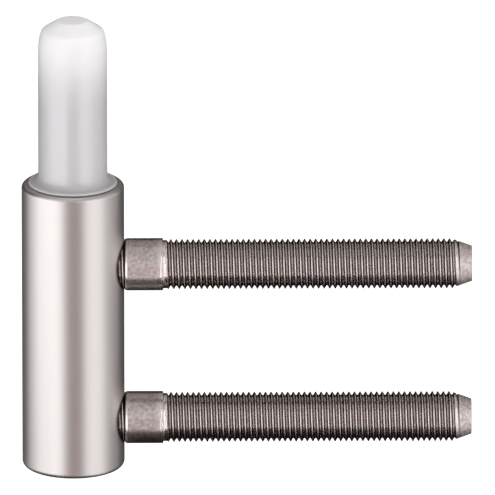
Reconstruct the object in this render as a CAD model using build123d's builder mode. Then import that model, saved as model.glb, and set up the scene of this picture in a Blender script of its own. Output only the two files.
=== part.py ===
from build123d import *
from math import radians, tan
import os

# Frame part of a drill-in door hinge. A plated steel barrel carries a hinge pin under a plastic
# bearing sleeve, and two threaded studs stand out of its side, to be screwed into the door frame.
# Sizes are in millimetres. The hinge axis is Z, the barrel's base is at Z = 0 and the studs run
# along +X.

# Barrel: a turned bar, closed at its base
barrel_diameter = 18.4
base_margin = 8.75  # barrel's base to the lower stud's axis
stud_spacing = 29.0  # between the axes of the two studs
top_margin = 15.3  # upper stud's axis to the barrel's top
barrel_top_round = 0.7
barrel_base_round = 0.85

# Hinge pin: pressed into the barrel, above the upper stud's hole
pin_diameter = 10.0
pin_reach = 21.5  # above the barrel's top
pin_end_chamfer = 0.6
pin_seat_clearance = 0.01  # on the radius
pin_floor_wall = 1.3  # left between the pin's seat and the upper stud's hole

# Bearing sleeve: a moulded cap over the pin, with a thin thrust collar on the barrel's top
sleeve_wall = 1.15
sleeve_clearance = 0.05  # on the radius, over the pin
sleeve_end_gap = 0.3  # over the pin's end
sleeve_cap = 8.97  # from the bore's end to the crown
sleeve_mouth_chamfer = 0.4
collar_width = 1.75  # beyond the sleeve's wall
collar_thickness = 0.6
collar_edge_chamfer = 0.22
collar_root_chamfer = 0.75

# Nose of the sleeve: the wall draws in to the nose, and a blunt cone closes it above
nose_inset = 0.62  # on the radius
lead_in_length = 4.0
nose_bevel = 0.45
crown_height = 1.85  # from the nose to the flat
crown_flat_diameter = 5.4
crown_round = 1.0

# Studs: a spigot screwed into the barrel, a plain shank, a blank and the thread with its lead cone
spigot_diameter = 8.35  # pitch diameter of its M9 x 1 thread, where stud and barrel meet
spigot_length = 11.5  # from the shoulder inwards
shoulder_standoff = 0.02  # off the barrel's side
shank_diameter = 9.4
shank_length = 6.98
shoulder_chamfer_length = 0.5
shoulder_chamfer_depth = 0.15
shank_end_chamfer_length = 0.12
blank_diameter = 8.65
blank_length = 0.65  # from the shank's end to the thread
thread_diameter = 9.0  # over the crests of the M9 x 1 thread
thread_length = 51.05
tip_diameter = 6.35
tip_length = 3.7

# Cross holes: drilled and tapped for the spigots, with broken edges
hole_clearance = 0.02  # on the radius
hole_end_gap = 0.5  # past the spigot's end
drill_point_angle = 118.0
hole_mouth_chamfer = 0.4

# Places along the hinge axis
lower_stud_height = base_margin
upper_stud_height = base_margin + stud_spacing
barrel_height = upper_stud_height + top_margin
hole_radius = spigot_diameter / 2 + hole_clearance
pin_foot_height = upper_stud_height + hole_radius + pin_floor_wall
pin_top_height = barrel_height + pin_reach
bore_end_height = pin_top_height + sleeve_end_gap
crown_top_height = bore_end_height + sleeve_cap
nose_height = crown_top_height - crown_height
lead_in_height = nose_height - lead_in_length
collar_top_height = barrel_height + collar_thickness

# Radii about the hinge axis
barrel_radius = barrel_diameter / 2
pin_radius = pin_diameter / 2
seat_radius = pin_radius + pin_seat_clearance
bore_radius = pin_radius + sleeve_clearance
sleeve_radius = bore_radius + sleeve_wall
collar_radius = sleeve_radius + collar_width
nose_radius = sleeve_radius - nose_inset
crown_flat_radius = crown_flat_diameter / 2

# Places along the studs
shoulder_x = barrel_radius + shoulder_standoff
spigot_end_x = shoulder_x - spigot_length
shank_end_x = shoulder_x + shank_length
thread_start_x = shank_end_x + blank_length
thread_end_x = thread_start_x + thread_length
tip_x = thread_end_x + tip_length
hole_end_x = spigot_end_x - hole_end_gap
hole_point_x = hole_end_x - hole_radius / tan(radians(drill_point_angle / 2))

os.makedirs("parts", exist_ok=True)

# The barrel's section lies on the side away from the studs
barrel_section = Plane(origin=(0, 0, 0), x_dir=(-1, 0, 0), z_dir=(0, 1, 0))

with BuildPart() as barrel:
    # Turned bar with rounded edges and the flat-bottomed seat of the pin
    with BuildSketch(barrel_section) as bar_section:
        with BuildLine():
            Polyline(
                (0, 0),
                (barrel_radius, 0),
                (barrel_radius, barrel_height),
                (seat_radius, barrel_height),
                (seat_radius, pin_foot_height),
                (0, pin_foot_height),
                close=True,
            )
        make_face()
        for corner, corner_round in (
            ((barrel_radius, 0), barrel_base_round),
            ((barrel_radius, barrel_height), barrel_top_round),
        ):
            fillet(bar_section.vertices().sort_by_distance(corner)[0], corner_round)
    revolve(axis=Axis.Z)
    # Cross holes with drill points, then their broken edges on the round side of the bar
    for hole_height in (lower_stud_height, upper_stud_height):
        with BuildSketch(Plane.XZ):
            with BuildLine():
                Polyline(
                    (hole_point_x, hole_height),
                    (hole_end_x, hole_height + hole_radius),
                    (shoulder_x, hole_height + hole_radius),
                    (shoulder_x, hole_height),
                    close=True,
                )
            make_face()
        revolve(axis=Axis((0, 0, hole_height), (1, 0, 0)), mode=Mode.SUBTRACT)
    curved_edges = barrel.edges().filter_by(GeomType.LINE, reverse=True)
    saddle_edges = curved_edges.filter_by(GeomType.CIRCLE, reverse=True)
    hole_mouths = saddle_edges.filter_by_position(Axis.X, 0, shoulder_x)
    chamfer(hole_mouths, hole_mouth_chamfer)
barrel.part.label = "barrel"
export_step(barrel.part, "parts/barrel.step")

with BuildPart() as hinge_pin:
    with BuildSketch(Plane.XY.offset(pin_foot_height)):
        Circle(pin_radius)
    extrude(amount=pin_top_height - pin_foot_height)
    chamfer(hinge_pin.edges().filter_by(GeomType.CIRCLE), pin_end_chamfer)
hinge_pin.part.label = "hinge_pin"
export_step(hinge_pin.part, "parts/hinge_pin.step")

with BuildPart() as bearing_sleeve:
    with BuildSketch(Plane.XZ) as sleeve_section:
        with BuildLine():
            Polyline(
                (0, crown_top_height),
                (0, bore_end_height),
                (bore_radius, bore_end_height),
                (bore_radius, barrel_height + sleeve_mouth_chamfer),
                (bore_radius + sleeve_mouth_chamfer, barrel_height),
                (collar_radius, barrel_height),
                (collar_radius, collar_top_height - collar_edge_chamfer),
                (collar_radius - collar_edge_chamfer, collar_top_height),
                (sleeve_radius + collar_root_chamfer, collar_top_height),
                (sleeve_radius, collar_top_height + collar_root_chamfer),
                (sleeve_radius, lead_in_height),
            )
            TangentArc((sleeve_radius, lead_in_height), (nose_radius, nose_height), tangent=(0, 1))
            Polyline(
                (nose_radius, nose_height),
                (crown_flat_radius, crown_top_height),
                (0, crown_top_height),
            )
        make_face()
        nose_corner = sleeve_section.vertices().sort_by_distance((nose_radius, nose_height))[0]
        chamfer(nose_corner, nose_bevel)
        crown_corner = sleeve_section.vertices().sort_by_distance((crown_flat_radius, crown_top_height))[0]
        fillet(crown_corner, crown_round)
    revolve(axis=Axis.Z)
bearing_sleeve.part.label = "bearing_sleeve"
export_step(bearing_sleeve.part, "parts/bearing_sleeve.step")

for stud_name, stud_height in (("lower_stud", lower_stud_height), ("upper_stud", upper_stud_height)):
    stud_face = Plane(origin=(0, 0, stud_height), x_dir=(1, 0, 0), z_dir=(0, -1, 0))
    with BuildPart() as stud:
        with BuildSketch(stud_face):
            with BuildLine():
                Polyline(
                    (spigot_end_x, 0),
                    (spigot_end_x, spigot_diameter / 2),
                    (shoulder_x, spigot_diameter / 2),
                    (shoulder_x, shank_diameter / 2 - shoulder_chamfer_depth),
                    (shoulder_x + shoulder_chamfer_length, shank_diameter / 2),
                    (shank_end_x - shank_end_chamfer_length, shank_diameter / 2),
                    (shank_end_x, blank_diameter / 2),
                    (thread_start_x, blank_diameter / 2),
                    (thread_start_x, thread_diameter / 2),
                    (thread_end_x, thread_diameter / 2),
                    (tip_x, tip_diameter / 2),
                    (tip_x, 0),
                    close=True,
                )
            make_face()
        revolve(axis=Axis((0, 0, stud_height), (1, 0, 0)))
    stud.part.label = stud_name
    export_step(stud.part, f"parts/{stud_name}.step")
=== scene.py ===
import math

import bmesh
import bpy
import numpy as np
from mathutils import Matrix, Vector


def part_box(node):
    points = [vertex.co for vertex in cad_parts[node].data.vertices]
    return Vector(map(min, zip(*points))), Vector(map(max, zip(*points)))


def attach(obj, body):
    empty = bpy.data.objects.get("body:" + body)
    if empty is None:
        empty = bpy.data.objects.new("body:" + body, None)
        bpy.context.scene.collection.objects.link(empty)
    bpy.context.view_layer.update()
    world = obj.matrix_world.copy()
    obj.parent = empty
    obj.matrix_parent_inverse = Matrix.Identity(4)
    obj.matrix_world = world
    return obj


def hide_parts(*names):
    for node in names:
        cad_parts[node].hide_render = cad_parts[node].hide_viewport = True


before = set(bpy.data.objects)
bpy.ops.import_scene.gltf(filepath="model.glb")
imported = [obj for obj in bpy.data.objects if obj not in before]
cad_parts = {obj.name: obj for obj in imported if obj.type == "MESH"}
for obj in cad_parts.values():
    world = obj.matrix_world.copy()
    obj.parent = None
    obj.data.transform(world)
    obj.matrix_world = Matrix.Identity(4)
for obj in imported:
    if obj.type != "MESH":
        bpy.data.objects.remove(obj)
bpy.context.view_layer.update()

MM = 0.001

# Bearing sleeve: radii about the hinge axis, heights over its foot, and the rounds of its edges
BORE_RADIUS = 5.05 * MM
WALL_RADIUS = 6.2 * MM
NOSE_INSET = 0.62 * MM
CROWN_RADIUS = 2.7 * MM
PIN_END_GAP = 0.3 * MM
MOUTH_CHAMFER = 0.4 * MM
COLLAR_THICKNESS = 0.6 * MM
CROWN_HEIGHT = 1.85 * MM
LEAD_IN_LENGTH = 4.0 * MM
LEAD_IN_POINTS = 9
BORE_END_ROUND = 0.3 * MM
COLLAR_FOOT_ROUND = 0.22 * MM
COLLAR_EDGE_ROUND = 0.32 * MM
COLLAR_ROOT_ROUND = 0.95 * MM
NOSE_ROUND = 1.2 * MM
CROWN_ROUND = 1.3 * MM
SLEEVE_SIDES = 128

# Studs: radii, lengths along their axis, and the rounds of their edges
SPIGOT_RADIUS = 4.5 * MM
NECK_RADIUS = 4.28 * MM
SPIGOT_LENGTH = 11.5 * MM
SHANK_RADIUS = 4.7 * MM
SHANK_LENGTH = 6.98 * MM
SHOULDER_CHAMFER = (0.5 * MM, 0.15 * MM)
SHANK_END_CHAMFER = 0.12 * MM
BLANK_RADIUS = 4.325 * MM
BLANK_LENGTH = 0.65 * MM
THREAD_RADIUS = 4.5 * MM
THREAD_LENGTH = 51.05 * MM
TIP_RADIUS = 3.175 * MM
TIP_LENGTH = 3.7 * MM
SHOULDER_ROUND = 0.3 * MM
STUD_EDGE_ROUND = 0.08 * MM
STUD_SIDES = 80
STUD_NAMES = ("upper_stud", "lower_stud")

# Threads: M9 x 1 on both ends of the stud, right-handed, rolled, with round crests and roots
PITCH = 1.0 * MM
FLANK_ANGLE = math.radians(30.0)
THREAD_DEPTH = 0.6134 * PITCH
ROOT_ROUND = 0.1443 * PITCH
CREST_ROUND = PITCH / 2 / math.tan(FLANK_ANGLE) - THREAD_DEPTH - ROOT_ROUND
CREST_PLACE = 17.37 * MM
SPIGOT_CREST_PLACE = 8.39 * MM
RUN_IN = 0.25 * MM
# Rows of the grid: angles along the arcs of crest and root, and shares of the flank
ARC_ANGLES = np.radians([0.0, 30.0, 60.0])
FLANK_SHARES = np.array([0.2, 0.8])
# How far under the last groove the thread's grid ends on the lead cone
CONE_MARGIN = 0.03 * MM

# Smoothness: turn of an arc from point to point, and how close to its ends a straight stretch is held
ARC_STEP = math.radians(15.0)
HOLD = 0.06 * MM

# Barrel's plating: its colour and gloss, and a painted shade round the studs where they meet the barrel,
# which is full and gone at two distances from an axis that lies a little above the stud's own
PLATE_COLOUR = "#DEDAD8"
PLATE_ROUGHNESS = (0.36, 0.42)
GRIT_SIZE = 0.4 * MM
STUD_SHADE_COLOUR = "#504C4A"
STUD_SHADE_REACH = (4.5 * MM, 5.5 * MM)
STUD_SHADE_RISE = 0.5 * MM

# Sleeve's plastic: share of light that it lets through below and above the pin's end, and the change
# that the collar and its rim make to it; places are from the pin's end, or from the sleeve's foot
CLEARNESS = (0.47, 0.1)
CLEARNESS_ENDS = (-7.0 * MM, 6.0 * MM)
COLLAR_ENDS = (2.0 * MM, 0.6 * MM)
RIM_CHANGE = (-0.15, 0.08)
RIM_ENDS = (0.3 * MM, 0.58 * MM)
PLASTIC_COLOUR = "#F6F3F5"
# Painted shade along the collar's foot, where it sits on the barrel: its colour, and where it ends above the
# sleeve's foot
COLLAR_SHADE_COLOUR = "#706A68"
COLLAR_SHADE_ENDS = (0.1 * MM, 0.28 * MM)
PLASTIC_ROUGHNESS = (0.26, 0.34)
PLASTIC_IOR = 1.53
FLOW_SIZE = 3.0 * MM
SCATTER_DEPTH = 1.0 * MM

# Studs' steel: where the turned faces and the marks of the rolling die begin and end, from the
# shoulder, the thread's start or the lead cone's start
TURNED_FROM_SHOULDER = (0.4 * MM, 0.7 * MM)
TURNED_TO_THREAD = (-0.9 * MM, -2.4 * MM)
TURNED_FROM_CONE = (0.2 * MM, 2.0 * MM)
MARKED_TO_THREAD = (0.2 * MM, 0.0)
MARK_DISTORTION = 1.5
MARK_HEIGHT = 2.0
BUMP_HEIGHT = 0.03 * MM
# Gloss: on the thread and on turned faces, what the cone and the blotches add, and how far it is drawn out
STEEL_ROUGHNESS = (0.20, 0.36)
CONE_ROUGHNESS = 0.16
BLOTCH_ROUGHNESS = 0.10
DRAWN_OUT = 0.7
BLOTCH_SIZE = 1.1 * MM
STAIN_SIZE = 0.6 * MM
STAIN_COLOURS = ((0.34, "#C2B8B6"), (0.60, "#E6DCDB"))
# Colours by the depth in the thread: crests lighter, partly as polished by rolling and partly as a painted
# highlight; flanks dark, partly with oil and partly as painted shade; and roots wiped a little
THREAD_COLOURS_AND_PAINTED_LIGHT = ((0.12, "#FAF0EE"), (0.34, "#4C4240"), (0.72, "#4C4240"), (0.90, "#E4DAD8"))
SHALLOW_DEPTHS = (0.3, 0.1)
# Grooves on the lead cone get more painted shade than their depth gives, by a factor that grows along it
RUN_OUT_SHADE = 1.1
RUN_OUT_SHADE_GAIN = 0.7 / MM
# Painted shade on the edge of the shoulder, next to the barrel: its width, and the depth in the thread whose
# tone it takes
SHOULDER_SHADE_WIDTH = 0.12 * MM
SHOULDER_SHADE_DEPTH = 0.5

# Pin's steel
PIN_COLOUR = "#E8E8EA"
PIN_ROUGHNESS = (0.24, 0.36)
RING_SIZE = 0.2 * MM
RING_STRETCH = (0.05, 0.05, 1.0)

# Camera: a long lens in front of the plane of the stud axes and a little to the left, looking down
ELEVATION = math.radians(18.5)
AZIMUTH = math.radians(-0.57)
LENS_MM = 1500.0
SENSOR_MM = 36.0
CLIP_END = 100.0
FRAME_WIDTH = 88.82 * MM
CAMERA_TARGET = Vector((31.31 * MM, 0.0, 40.85 * MM))

# Studio, in metres: white surroundings, a pale floor, softboxes, and cloth that only the part's gloss shows
STAGE_CENTRE = Vector((0.0, 0.0, 0.03))
AMBIENT = 0.36
FLOOR_COLOUR = "#E6E6E6"
FLOOR_HEIGHT = -0.5
FLOOR_REACH = 6.0
FLOOR_GLOW = 0.95
TENT_COLOUR = "#382E2E"
TENT_RADIUS = 0.9
TENT_FOOT = math.radians(-35.0)
TENT_ROWS, TENT_SIDES = 24, 48
# Cards round the part: azimuth, elevation and distance, width and height, and colour
CARDS = (
    ("low_card", (0.0, -20.7, 0.62), (0.36, 0.52), "#9E8280"),
    ("front_card", (0.0, 20.0, 0.62), (0.36, 0.4), "#C0B0AC"),
    ("left_high_card", (-55.0, 44.0, 0.5), (0.65, 0.36), "#FAFAFA"),
    ("left_top_card", (-68.0, 56.0, 0.6), (0.55, 0.55), "#A8A4A2"),
    ("right_top_card", (68.0, 56.0, 0.6), (0.55, 0.55), "#A8A4A2"),
    ("back_card", (180.0, 50.0, 0.7), (0.8, 0.5), "#ACA4A2"),
    ("tip_card", (116.0, 54.0, 0.58), (0.4, 0.4), "#DCD4D0"),
)
TABLE_COLOUR = "#201A1A"
TABLE_HEIGHT = -0.22
TABLE_X = (-0.5, 0.7)
TABLE_Y = (-0.25, 0.7)
MAT_COLOUR = "#F0E8E6"
MAT_HEIGHT = -0.215
MAT_X = (0.16, 0.7)
MAT_Y = (-0.25, -0.03)
# Azimuth, elevation and distance of each softbox, its width and height, the radiance of its front, and
# whether it lights matt surfaces and shows in the gloss
SOFTBOXES = (
    ("left_softbox", (-55.0, -10.0, 0.5), (0.65, 0.6), 1.60, True, True),
    ("left_fill", (-103.0, -16.0, 0.6), (0.30, 0.5), 0.85, False, True),
    ("right_softbox", (48.0, 4.0, 0.5), (0.47, 1.0), 1.25, True, True),
    ("right_fill", (98.0, 4.0, 0.6), (0.46, 1.0), 0.55, True, True),
    ("top_softbox", (0.0, 80.0, 0.6), (1.0, 0.5), 0.42, True, True),
    ("front_fill", (0.0, 62.0, 0.6), (0.6, 0.6), 1.10, True, False),
    ("back_fill", (180.0, 12.0, 0.7), (0.8, 0.6), 0.8, True, False),
)


def linear(hex_colour, alpha=1.0):
    """An sRGB hex colour as linear RGBA."""
    parts = [int(hex_colour[i : i + 2], 16) / 255 for i in (1, 3, 5)]
    return [c / 12.92 if c <= 0.04045 else ((c + 0.055) / 1.055) ** 2.4 for c in parts] + [alpha]


def shifted(base, offsets):
    """Places at offsets from a base."""
    return [base + offset for offset in offsets]


def add(tree, kind, inputs=None, **settings):
    """Adds a node, gives it its settings, and links or sets its inputs."""
    made = tree.nodes.new(kind)
    for name, value in settings.items():
        setattr(made, name, value)
    for key, value in (inputs or {}).items():
        if isinstance(value, bpy.types.NodeSocket):
            tree.links.new(value, made.inputs[key])
        else:
            made.inputs[key].default_value = value
    return made


def calc(tree, operation, *values):
    """The result of a math node on values or sockets."""
    return add(tree, "ShaderNodeMath", dict(enumerate(values)), operation=operation).outputs["Value"]


def distance(tree, first, second):
    """The distance that two offsets at right angles make."""
    squares = [calc(tree, "MULTIPLY", offset, offset) for offset in (first, second)]
    return calc(tree, "SQRT", calc(tree, "ADD", *squares))


def remap(tree, value, source=(0.0, 1.0), target=(0.0, 1.0), smooth=False):
    """Carries a value from one range over to another, whose ends it keeps to."""
    names = ("Value", "From Min", "From Max", "To Min", "To Max")
    inputs = dict(zip(names, (value, *source, *target)))
    kind = "SMOOTHSTEP" if smooth else "LINEAR"
    return add(tree, "ShaderNodeMapRange", inputs, interpolation_type=kind).outputs["Result"]


def noise(tree, place, size, **settings):
    """Noise with spots of a size."""
    return add(tree, "ShaderNodeTexNoise", {"Vector": place, "Scale": 1 / size, **settings}).outputs["Fac"]


def mix(tree, factor, first, second):
    """A colour between two others."""
    inputs = {"Factor": factor, "A": first, "B": second}
    return add(tree, "ShaderNodeMix", inputs, data_type="RGBA").outputs["Result"]


def ramp(tree, factor, stops):
    """A colour from a ramp of stops, each a place and a colour."""
    made = add(tree, "ShaderNodeValToRGB", {"Fac": factor})
    elements = made.color_ramp.elements
    while len(elements) < len(stops):
        elements.new(1.0)
    for element, (place, colour) in zip(elements, stops):
        element.position = place
        element.color = linear(colour)
    return made.outputs["Color"]


def new_material(name):
    """A material with an empty node tree, and its output node."""
    material = bpy.data.materials.new(name)
    material.use_nodes = True
    tree = material.node_tree
    tree.nodes.clear()
    return material, tree, add(tree, "ShaderNodeOutputMaterial")


def place_on_object(tree):
    """The place of a point in its object's own axes."""
    return add(tree, "ShaderNodeTexCoord").outputs["Object"]


def surface(tree, output, kind, inputs):
    """Gives an output its surface: a shader of a kind."""
    shader = add(tree, kind, inputs)
    tree.links.new(shader.outputs[0], output.inputs["Surface"])


def rounded(corners, radii):
    """An outline through corners, each inner one replaced by an arc of its radius that meets both sides."""
    corners = np.array(corners)
    outline = [corners[:1]]
    for before, corner, after, radius in zip(corners, corners[1:], corners[2:], radii):
        back = (before - corner) / np.linalg.norm(before - corner)
        ahead = (after - corner) / np.linalg.norm(after - corner)
        half = math.acos(np.clip(back @ ahead, -1.0, 1.0)) / 2
        middle = (back + ahead) / np.linalg.norm(back + ahead)
        across = (ahead - back) / np.linalg.norm(ahead - back)
        turn = math.pi / 2 - half
        count = 2 + int(2 * turn / ARC_STEP) if radius else 1
        angle = np.linspace(-turn, turn, count)[:, None]
        centre = corner + middle * radius / math.sin(half)
        outline.append(centre + radius * (np.sin(angle) * across - np.cos(angle) * middle))
    outline.append(corners[-1:])
    return np.concatenate(outline)


def held(outline):
    """An outline with points close to both ends of each long stretch, which keep its shading flat."""
    start, end = outline[:-1], outline[1:]
    length = np.linalg.norm(end - start, axis=1, keepdims=True)
    step = (end - start) * HOLD / np.maximum(length, HOLD)
    keep = np.repeat(length > 4 * HOLD, 3, axis=1)
    keep[:, 0] = True
    points = np.stack([start, start + step, end - step], axis=1)[keep]
    return np.concatenate([points, outline[-1:]])


def grid_faces(rows, columns, shift=0):
    """Quads of a grid that closes round its columns; its seam joins each row to the row shift further on."""
    i, j = np.meshgrid(np.arange(rows - 1), np.arange(columns), indexing="ij")
    step = np.where(j == columns - 1, shift, 0)
    keep = (i + 1 + step <= rows - 1).ravel()
    k = (j + 1) % columns
    near = i * columns + j, (i + step) * columns + k
    far = (i + 1 + step) * columns + k, (i + 1) * columns + j
    return np.stack([c.ravel() for c in near + far], axis=1)[keep]


def turned_grid(outline, sides):
    """An outline of (place along the axis, radius) carried round the X axis: place times angle."""
    place, radius = outline.T
    angle = np.linspace(0.0, 2 * np.pi, sides, endpoint=False)
    across = radius[:, None] * np.cos(angle), radius[:, None] * np.sin(angle)
    points = np.stack([np.repeat(place[:, None], sides, axis=1), *across], axis=-1)
    return points.reshape(-1, 3), grid_faces(len(place), sides)


def upright(points):
    """Points about the X axis turned to lie about the Z axis."""
    return points[:, [1, 2, 0]]


def thread_rows():
    """Phases of one pitch, from crest to crest: arcs over crest and root, and points that hold the flanks."""
    arc = np.sin(ARC_ANGLES)
    crest = CREST_ROUND * arc / PITCH
    root = 0.5 - ROOT_ROUND * arc[::-1] / PITCH
    flank = crest[-1] + (root[0] - crest[-1]) * FLANK_SHARES
    half = np.concatenate([crest, flank, root])
    return np.concatenate([half, 1.0 - half[-2:0:-1]])


def thread_section(phase):
    """Depth under the crests at a phase in pitches: a round crest, straight flanks and a round root."""
    from_crest = np.abs((phase + 0.5) % 1.0 - 0.5) * PITCH
    from_root = PITCH / 2 - from_crest
    crest = CREST_ROUND - np.sqrt(np.clip(CREST_ROUND**2 - from_crest**2, 0.0, None))
    root = THREAD_DEPTH - ROOT_ROUND + np.sqrt(np.clip(ROOT_ROUND**2 - from_root**2, 0.0, None))
    flank = from_crest / math.tan(FLANK_ANGLE) - CREST_ROUND
    on_crest = from_crest < CREST_ROUND * math.cos(FLANK_ANGLE)
    on_root = from_root < ROOT_ROUND * math.cos(FLANK_ANGLE)
    return np.where(on_crest, crest, np.where(on_root, root, flank))


def thread_grid(ends, end_radii, crest_radius, crest_place, limit):
    """A helical grid: each row keeps its phase of the thread and advances one pitch a turn.

    The radius is the crest radius less the section's depth. It runs into the radius of each end over a
    short length, and stays under the limit, a function of the place. Rows past an end lie in its plane.
    """
    start, end = ends
    rows = thread_rows()
    first = math.floor((start - PITCH - crest_place) / PITCH)
    last = math.ceil((end - crest_place) / PITCH)
    phase = (np.arange(first, last + 1)[:, None] + rows).ravel()[:, None]
    angle = np.linspace(0.0, 2 * np.pi, STUD_SIDES, endpoint=False)
    place = np.clip(crest_place + PITCH * (phase + angle / (2 * np.pi)), start, end)
    radius = np.minimum(crest_radius - thread_section(phase), limit(place))
    radius = end_radii[0] + (radius - end_radii[0]) * np.clip((place - start) / RUN_IN, 0.0, 1.0)
    radius = end_radii[1] + (radius - end_radii[1]) * np.clip((end - place) / RUN_IN, 0.0, 1.0)
    points = np.stack([place, radius * np.cos(angle), radius * np.sin(angle)], axis=-1)
    return points.reshape(-1, 3), grid_faces(len(phase), STUD_SIDES, shift=len(rows))


def joined_mesh(name, grids):
    """One smooth mesh of several grids, with the rings and poles that they share merged."""
    points = np.concatenate([g[0] for g in grids])
    starts = np.cumsum([0] + [len(g[0]) for g in grids[:-1]])
    faces = np.concatenate([g[1] + s for g, s in zip(grids, starts)])
    mesh = bpy.data.meshes.new(name)
    mesh.from_pydata(points, [], faces.tolist())
    work = bmesh.new()
    work.from_mesh(mesh)
    bmesh.ops.remove_doubles(work, verts=work.verts, dist=0.001 * MM)
    bmesh.ops.recalc_face_normals(work, faces=work.faces)
    work.to_mesh(mesh)
    work.free()
    mesh.shade_smooth()
    return mesh


def add_piece(name, grids, node, material):
    """A piece of the part that stands for a CAD node, which it hides, and takes the finish that it is given.
    """
    piece = bpy.data.objects.new(name, joined_mesh(name, grids))
    piece.data.materials.append(material)
    bpy.context.scene.collection.objects.link(piece)
    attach(piece, "root")
    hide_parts(node)
    return piece


def add_sleeve(material):
    """The moulded sleeve with its rounded edges: its outline from the bore's end to the crown, turned."""
    low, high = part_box("bearing_sleeve")
    foot, top, collar_radius = low.z, high.z, high.x
    bore_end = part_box("hinge_pin")[1].z + PIN_END_GAP
    nose = top - CROWN_HEIGHT
    lead_in = nose - LEAD_IN_LENGTH
    lead_in_round = (LEAD_IN_LENGTH**2 + NOSE_INSET**2) / (2 * NOSE_INSET)
    rise = np.linspace(0.0, LEAD_IN_LENGTH, LEAD_IN_POINTS)
    drawn_in = WALL_RADIUS - lead_in_round + np.sqrt(lead_in_round**2 - rise**2)
    corners = [
        (bore_end, 0.0),
        (bore_end, BORE_RADIUS),
        (foot + MOUTH_CHAMFER, BORE_RADIUS),
        (foot, BORE_RADIUS + MOUTH_CHAMFER),
        (foot, collar_radius),
        (foot + COLLAR_THICKNESS, collar_radius),
        (foot + COLLAR_THICKNESS, WALL_RADIUS),
        *zip(lead_in + rise, drawn_in),
        (top, CROWN_RADIUS),
        (top, 0.0),
    ]
    edges = [BORE_END_ROUND, 0.0, 0.0, COLLAR_FOOT_ROUND, COLLAR_EDGE_ROUND, COLLAR_ROOT_ROUND]
    radii = edges + [0.0] * (len(rise) - 1) + [NOSE_ROUND, CROWN_ROUND]
    points, faces = turned_grid(held(rounded(corners, radii)), SLEEVE_SIDES)
    grids = [(upright(points), faces)]
    add_piece("bearing_sleeve_moulded", grids, "bearing_sleeve", material)


def add_stud(node, material):
    """A whole stud: threaded spigot, undercut, shank and blank, helical thread, lead cone and end face."""
    low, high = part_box(node)
    spigot_end, tip = low.x, high.x
    shoulder = spigot_end + SPIGOT_LENGTH
    shank_end = shoulder + SHANK_LENGTH
    thread_start = shank_end + BLANK_LENGTH
    cone_start = thread_start + THREAD_LENGTH
    cone_slope = (THREAD_RADIUS - TIP_RADIUS) / TIP_LENGTH
    cone_clear = cone_start + (THREAD_DEPTH + CONE_MARGIN) / cone_slope
    spigot_root = SPIGOT_RADIUS - THREAD_DEPTH

    def lead_cone(place):
        """Radius of the thread's crests, which the lead cone draws in."""
        return THREAD_RADIUS - np.clip(place - cone_start, 0.0, None) * cone_slope

    def spigot_crest(place):
        """Radius of the spigot's crests, the same all along it."""
        return SPIGOT_RADIUS

    foot = [(spigot_end, 0.0), (spigot_end, spigot_root)]
    shank = [
        (shoulder, NECK_RADIUS),
        (shoulder, SHANK_RADIUS - SHOULDER_CHAMFER[1]),
        (shoulder + SHOULDER_CHAMFER[0], SHANK_RADIUS),
        (shank_end - SHANK_END_CHAMFER, SHANK_RADIUS),
        (shank_end, BLANK_RADIUS),
        (thread_start, BLANK_RADIUS),
    ]
    shank_rounds = [SHOULDER_ROUND] + [STUD_EDGE_ROUND] * 3
    cone = [(cone_clear, lead_cone(cone_clear)), (tip, TIP_RADIUS), (tip, 0.0)]
    spigot_ends, spigot_radii = (spigot_end, shoulder), (spigot_root, NECK_RADIUS)
    thread_ends, thread_radii = (thread_start, cone_clear), (BLANK_RADIUS, lead_cone(cone_clear))
    grids = [
        turned_grid(np.array(foot), STUD_SIDES),
        thread_grid(spigot_ends, spigot_radii, SPIGOT_RADIUS, SPIGOT_CREST_PLACE, spigot_crest),
        turned_grid(held(rounded(shank, shank_rounds)), STUD_SIDES),
        thread_grid(thread_ends, thread_radii, THREAD_RADIUS, CREST_PLACE, lead_cone),
        turned_grid(held(rounded(cone, [STUD_EDGE_ROUND])), STUD_SIDES),
    ]
    axis = np.array((0.0, 0.0, (low.z + high.z) / 2))
    placed = [(points + axis, faces) for points, faces in grids]
    piece = add_piece(node + "_threaded", placed, node, material)
    # How deep each point of the threads lies under their crests, as a share of the thread's depth
    points = np.empty(len(piece.data.vertices) * 3)
    piece.data.vertices.foreach_get("co", points)
    x, y, z = (points.reshape(-1, 3) - axis).T
    crest = np.where(x < shoulder, SPIGOT_RADIUS, lead_cone(x))
    depth = np.where((x < shoulder) | (x > thread_start), (crest - np.hypot(y, z)) / THREAD_DEPTH, 0.0)
    # On the lead cone the grooves run out, and keep the thread's painted shade and highlight a little longer
    depth = depth * np.where(x > cone_start, RUN_OUT_SHADE + RUN_OUT_SHADE_GAIN * (x - cone_start), 1.0)
    # Painted shade darkens the edge of the shoulder next to the barrel, with the tone of the thread's flanks
    depth = np.where((x >= shoulder) & (x < shoulder + SHOULDER_SHADE_WIDTH), SHOULDER_SHADE_DEPTH, depth)
    piece.data.attributes.new("thread_depth", "FLOAT", "POINT").data.foreach_set("value", depth)


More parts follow.
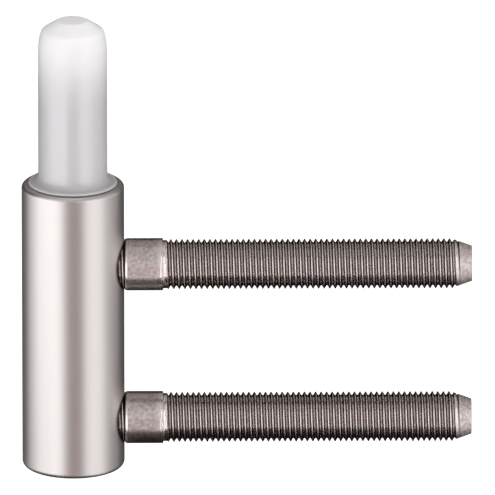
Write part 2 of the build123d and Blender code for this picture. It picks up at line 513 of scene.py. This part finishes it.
def satin_nickel():
    """Nickel-plated steel, blasted and polished: a soft, broad gloss with a faint warm tint."""
    material, tree, output = new_material("satin_nickel_plate")
    place = place_on_object(tree)
    # Painted shade round the mouths of the cross holes, where the studs meet the barrel, by the distance from
    # the nearer stud's axis
    upper, lower = [(low.z + high.z) / 2 for low, high in map(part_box, STUD_NAMES)]
    x, y, z = add(tree, "ShaderNodeSeparateXYZ", {"Vector": place}).outputs
    from_middle = calc(tree, "ABSOLUTE", calc(tree, "SUBTRACT", z, (upper + lower) / 2 + STUD_SHADE_RISE))
    from_axis = distance(tree, calc(tree, "SUBTRACT", from_middle, (upper - lower) / 2), y)
    near = remap(tree, from_axis, STUD_SHADE_REACH[::-1], smooth=True)
    shaded_near_stud = calc(tree, "MULTIPLY", near, calc(tree, "GREATER_THAN", x, 0.0))
    inputs = {
        "Base Color": mix(tree, shaded_near_stud, linear(PLATE_COLOUR), linear(STUD_SHADE_COLOUR)),
        "Metallic": 1.0,
        "Roughness": remap(tree, noise(tree, place, GRIT_SIZE), target=PLATE_ROUGHNESS),
    }
    surface(tree, output, "ShaderNodeBsdfPrincipled", inputs)
    return material


def natural_polyamide():
    """Undyed moulded polyamide: milky, clearer in the thin wall, where the pin shows faintly through it."""
    material, tree, output = new_material("natural_polyamide")
    place = place_on_object(tree)
    x, y, along = add(tree, "ShaderNodeSeparateXYZ", {"Vector": place}).outputs
    pin_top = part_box("hinge_pin")[1].z
    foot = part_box("bearing_sleeve")[0].z
    clear = remap(tree, along, shifted(pin_top, CLEARNESS_ENDS), CLEARNESS, smooth=True)
    # The thin collar is clearer still, and its rim milkier
    on_collar = remap(tree, along, shifted(foot, COLLAR_ENDS))
    change = remap(tree, along, shifted(foot, RIM_ENDS), RIM_CHANGE)
    wall = calc(tree, "MULTIPLY_ADD", on_collar, change, clear)
    # The bore is inside the plastic, so its face lets all light through
    inner = calc(tree, "LESS_THAN", distance(tree, x, y), BORE_RADIUS + MOUTH_CHAMFER)
    under = calc(tree, "LESS_THAN", along, pin_top + 2 * PIN_END_GAP)
    through = calc(tree, "MAXIMUM", wall, calc(tree, "MULTIPLY", inner, under))
    # Painted shade in the joint between the collar and the barrel
    off_collar_shade = remap(tree, along, shifted(foot, COLLAR_SHADE_ENDS))
    inputs = {
        "Base Color": mix(tree, off_collar_shade, linear(COLLAR_SHADE_COLOUR), linear(PLASTIC_COLOUR)),
        "Roughness": remap(tree, noise(tree, place, FLOW_SIZE), target=PLASTIC_ROUGHNESS),
        "IOR": PLASTIC_IOR,
        "Transmission Weight": through,
        "Subsurface Weight": 1.0,
        "Subsurface Radius": (1.0, 1.0, 1.0),
        "Subsurface Scale": SCATTER_DEPTH,
    }
    surface(tree, output, "ShaderNodeBsdfPrincipled", inputs)
    return material


def rolled_steel():
    """Plated steel: turned on the shank, whose gloss spreads along the axis, and rolled on the thread."""
    material, tree, output = new_material("turned_and_rolled_nickel_plate")
    place = place_on_object(tree)
    along = add(tree, "ShaderNodeSeparateXYZ", {"Vector": place}).outputs["X"]
    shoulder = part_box(STUD_NAMES[0])[0].x + SPIGOT_LENGTH
    thread_start = shoulder + SHANK_LENGTH + BLANK_LENGTH
    cone_start = thread_start + THREAD_LENGTH

    def rise(base, offsets):
        """Goes from 0 to 1 between two places along the stud."""
        return remap(tree, along, shifted(base, offsets))

    def times(first, second):
        """Product of two values."""
        return calc(tree, "MULTIPLY", first, second)

    plain = times(rise(shoulder, TURNED_FROM_SHOULDER), rise(thread_start, TURNED_TO_THREAD))
    depth = add(tree, "ShaderNodeAttribute", attribute_name="thread_depth").outputs["Fac"]
    on_cone = times(rise(cone_start, TURNED_FROM_CONE), remap(tree, depth, SHALLOW_DEPTHS))
    turned = calc(tree, "MAXIMUM", plain, on_cone)
    # Blotches of the plating also wave the surface a little
    blotch = noise(tree, place, BLOTCH_SIZE)
    dull = calc(tree, "MULTIPLY_ADD", on_cone, CONE_ROUGHNESS, remap(tree, turned, target=STEEL_ROUGHNESS))
    # Marks of the rolling die, two to a pitch, fade into the shank
    wave = {
        "Vector": place,
        "Scale": math.pi / 10 / (PITCH / 2),
        "Distortion": MARK_DISTORTION,
        "Detail Scale": 1.0,
    }
    marks = add(tree, "ShaderNodeTexWave", wave, bands_direction="X").outputs["Fac"]
    marked = times(rise(thread_start, TURNED_TO_THREAD[::-1]), rise(thread_start, MARKED_TO_THREAD))
    height = calc(tree, "ADD", blotch, times(times(marks, marked), MARK_HEIGHT))
    stained = ramp(tree, noise(tree, place, STAIN_SIZE, Detail=3.0), STAIN_COLOURS)
    inputs = {
        "Base Color": mix(tree, turned, ramp(tree, depth, THREAD_COLOURS_AND_PAINTED_LIGHT), stained),
        "Metallic": 1.0,
        "Roughness": calc(tree, "MULTIPLY_ADD", blotch, BLOTCH_ROUGHNESS, dull),
        "Anisotropic": times(plain, DRAWN_OUT),
        "Tangent": add(tree, "ShaderNodeCombineXYZ", {"X": 1.0}).outputs["Vector"],
        "Normal": add(tree, "ShaderNodeBump", {"Height": height, "Distance": BUMP_HEIGHT}).outputs["Normal"],
    }
    surface(tree, output, "ShaderNodeBsdfPrincipled", inputs)
    return material


def ground_steel():
    """Ground bar steel, with the fine rings that the wheel leaves round it."""
    material, tree, output = new_material("ground_steel")
    place = place_on_object(tree)
    drawn = add(tree, "ShaderNodeVectorMath", {0: place, 1: RING_STRETCH}, operation="MULTIPLY")
    rings = noise(tree, drawn.outputs["Vector"], RING_SIZE)
    inputs = {
        "Base Color": linear(PIN_COLOUR),
        "Metallic": 1.0,
        "Roughness": remap(tree, rings, target=PIN_ROUGHNESS),
    }
    surface(tree, output, "ShaderNodeBsdfPrincipled", inputs)
    return material


def finish_node(name, material):
    """Gives a CAD node its finish."""
    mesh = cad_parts[name].data
    mesh.materials.clear()
    mesh.materials.append(material)


def add_camera():
    """A long lens at the photograph's elevation, framing the same field."""
    data = bpy.data.cameras.new("camera")
    data.lens = LENS_MM
    data.sensor_width = SENSOR_MM
    data.clip_end = CLIP_END
    camera = bpy.data.objects.new("camera", data)
    bpy.context.scene.collection.objects.link(camera)
    level = math.cos(ELEVATION)
    back = Vector((level * math.sin(AZIMUTH), -level * math.cos(AZIMUTH), math.sin(ELEVATION)))
    camera.location = CAMERA_TARGET + back * (FRAME_WIDTH * LENS_MM / SENSOR_MM)
    camera.rotation_mode = "QUATERNION"
    camera.rotation_quaternion = (-back).to_track_quat("-Z", "Y")
    bpy.context.scene.camera = camera


def around(azimuth, elevation, reach):
    """A place round the hinge axis: azimuth 0 is in front, positive to the right; angles in degrees."""
    a, e = math.radians(azimuth), math.radians(elevation)
    towards = Vector((math.sin(a) * math.cos(e), -math.cos(a) * math.cos(e), math.sin(e)))
    return STAGE_CENTRE + reach * towards


def add_softbox(name, place, size, radiance, lights_matt, shows_in_gloss):
    """A rectangular softbox that faces the part, with the radiance that its front shows."""
    data = bpy.data.lights.new(name, "AREA")
    data.shape = "RECTANGLE"
    data.size, data.size_y = size
    data.energy = radiance * math.pi * size[0] * size[1]
    light = bpy.data.objects.new(name, data)
    bpy.context.scene.collection.objects.link(light)
    light.location = place
    light.rotation_mode = "QUATERNION"
    light.rotation_quaternion = (STAGE_CENTRE - place).to_track_quat("-Z", "Y")
    light.visible_diffuse = lights_matt
    light.visible_glossy = shows_in_gloss


def add_stage(name, points, faces, material):
    """A sheet of the stage."""
    mesh = bpy.data.meshes.new(name)
    mesh.from_pydata(points, [], faces)
    mesh.materials.append(material)
    sheet = bpy.data.objects.new(name, mesh)
    bpy.context.scene.collection.objects.link(sheet)
    return sheet


def add_level(name, x_range, y_range, height, material):
    """A level sheet of the stage."""
    (x0, x1), (y0, y1) = x_range, y_range
    corners = [(x0, y0, height), (x1, y0, height), (x1, y1, height), (x0, y1, height)]
    return add_stage(name, corners, [(0, 1, 2, 3)], material)


def add_tent(name, material):
    """A dome over the part: elevation times azimuth, on a sphere."""
    elevation = np.linspace(TENT_FOOT, math.pi / 2, TENT_ROWS)
    outline = np.stack([TENT_RADIUS * np.sin(elevation), TENT_RADIUS * np.cos(elevation)], axis=1)
    points, faces = turned_grid(outline, TENT_SIDES)
    return add_stage(name, (upright(points) + np.array(STAGE_CENTRE)).tolist(), faces.tolist(), material)


def add_card(name, place, size, material):
    """An upright card that faces the part."""
    across = Vector((0.0, 0.0, 1.0)).cross(STAGE_CENTRE - place).normalized() * size[0] / 2
    up = (STAGE_CENTRE - place).cross(across).normalized() * size[1] / 2
    corners = [place - across - up, place + across - up, place + across + up, place - across + up]
    return add_stage(name, corners, [(0, 1, 2, 3)], material)


def show_only_in_part(sheet):
    """Leaves a sheet to the rays that the part reflects or lets through."""
    sheet.visible_camera = False
    sheet.visible_diffuse = False
    sheet.visible_shadow = False


def cloth(name, colour):
    """Matt cloth of the studio."""
    material, tree, output = new_material(name)
    surface(tree, output, "ShaderNodeBsdfDiffuse", {"Color": linear(colour)})
    return material


def seen_directly(tree):
    """1 for camera, glossy and transmission rays, which see the white surroundings, and 0 for others."""
    ray = add(tree, "ShaderNodeLightPath").outputs
    shown = calc(tree, "MAXIMUM", ray["Is Camera Ray"], ray["Is Glossy Ray"])
    return calc(tree, "MAXIMUM", shown, ray["Is Transmission Ray"])


def white_paper():
    """Paper of the floor, which looks white where it is seen directly and still takes the part's shadow."""
    material, tree, output = new_material("white_paper")
    sheet = add(tree, "ShaderNodeBsdfDiffuse", {"Color": linear(FLOOR_COLOUR)})
    glow = calc(tree, "MULTIPLY", seen_directly(tree), FLOOR_GLOW)
    light = add(tree, "ShaderNodeEmission", {"Color": linear("#FFFFFF"), "Strength": glow})
    surface(tree, output, "ShaderNodeAddShader", {0: sheet.outputs["BSDF"], 1: light.outputs["Emission"]})
    return material


def add_world():
    """White surroundings, which light the part more softly than they look."""
    world = bpy.data.worlds.new("studio")
    world.use_nodes = True
    tree = world.node_tree
    tree.nodes.clear()
    strength = remap(tree, seen_directly(tree), target=(AMBIENT, 1.0))
    output = add(tree, "ShaderNodeOutputWorld")
    surface(tree, output, "ShaderNodeBackground", {"Color": linear("#FFFFFF"), "Strength": strength})
    bpy.context.scene.world = world


def add_studio():
    """World, floor, softboxes, and the cloths round and under the part."""
    add_world()
    floor_range = (-FLOOR_REACH, FLOOR_REACH)
    add_level("floor", floor_range, floor_range, FLOOR_HEIGHT, white_paper())
    show_only_in_part(add_tent("tent", cloth("dark_velvet", TENT_COLOUR)))
    show_only_in_part(add_level("table", TABLE_X, TABLE_Y, TABLE_HEIGHT, cloth("black_velvet", TABLE_COLOUR)))
    show_only_in_part(add_level("mat", MAT_X, MAT_Y, MAT_HEIGHT, cloth("pale_felt", MAT_COLOUR)))
    for name, place, size, colour in CARDS:
        show_only_in_part(add_card(name, around(*place), size, cloth(name + "_felt", colour)))
    for name, place, *settings in SOFTBOXES:
        add_softbox(name, around(*place), *settings)


add_camera()
add_studio()
finish_node("barrel", satin_nickel())
finish_node("hinge_pin", ground_steel())
add_sleeve(natural_polyamide())
stud_finish = rolled_steel()
for stud_name in STUD_NAMES:
    add_stud(stud_name, stud_finish)

bpy.context.scene.view_settings.view_transform = "Standard"
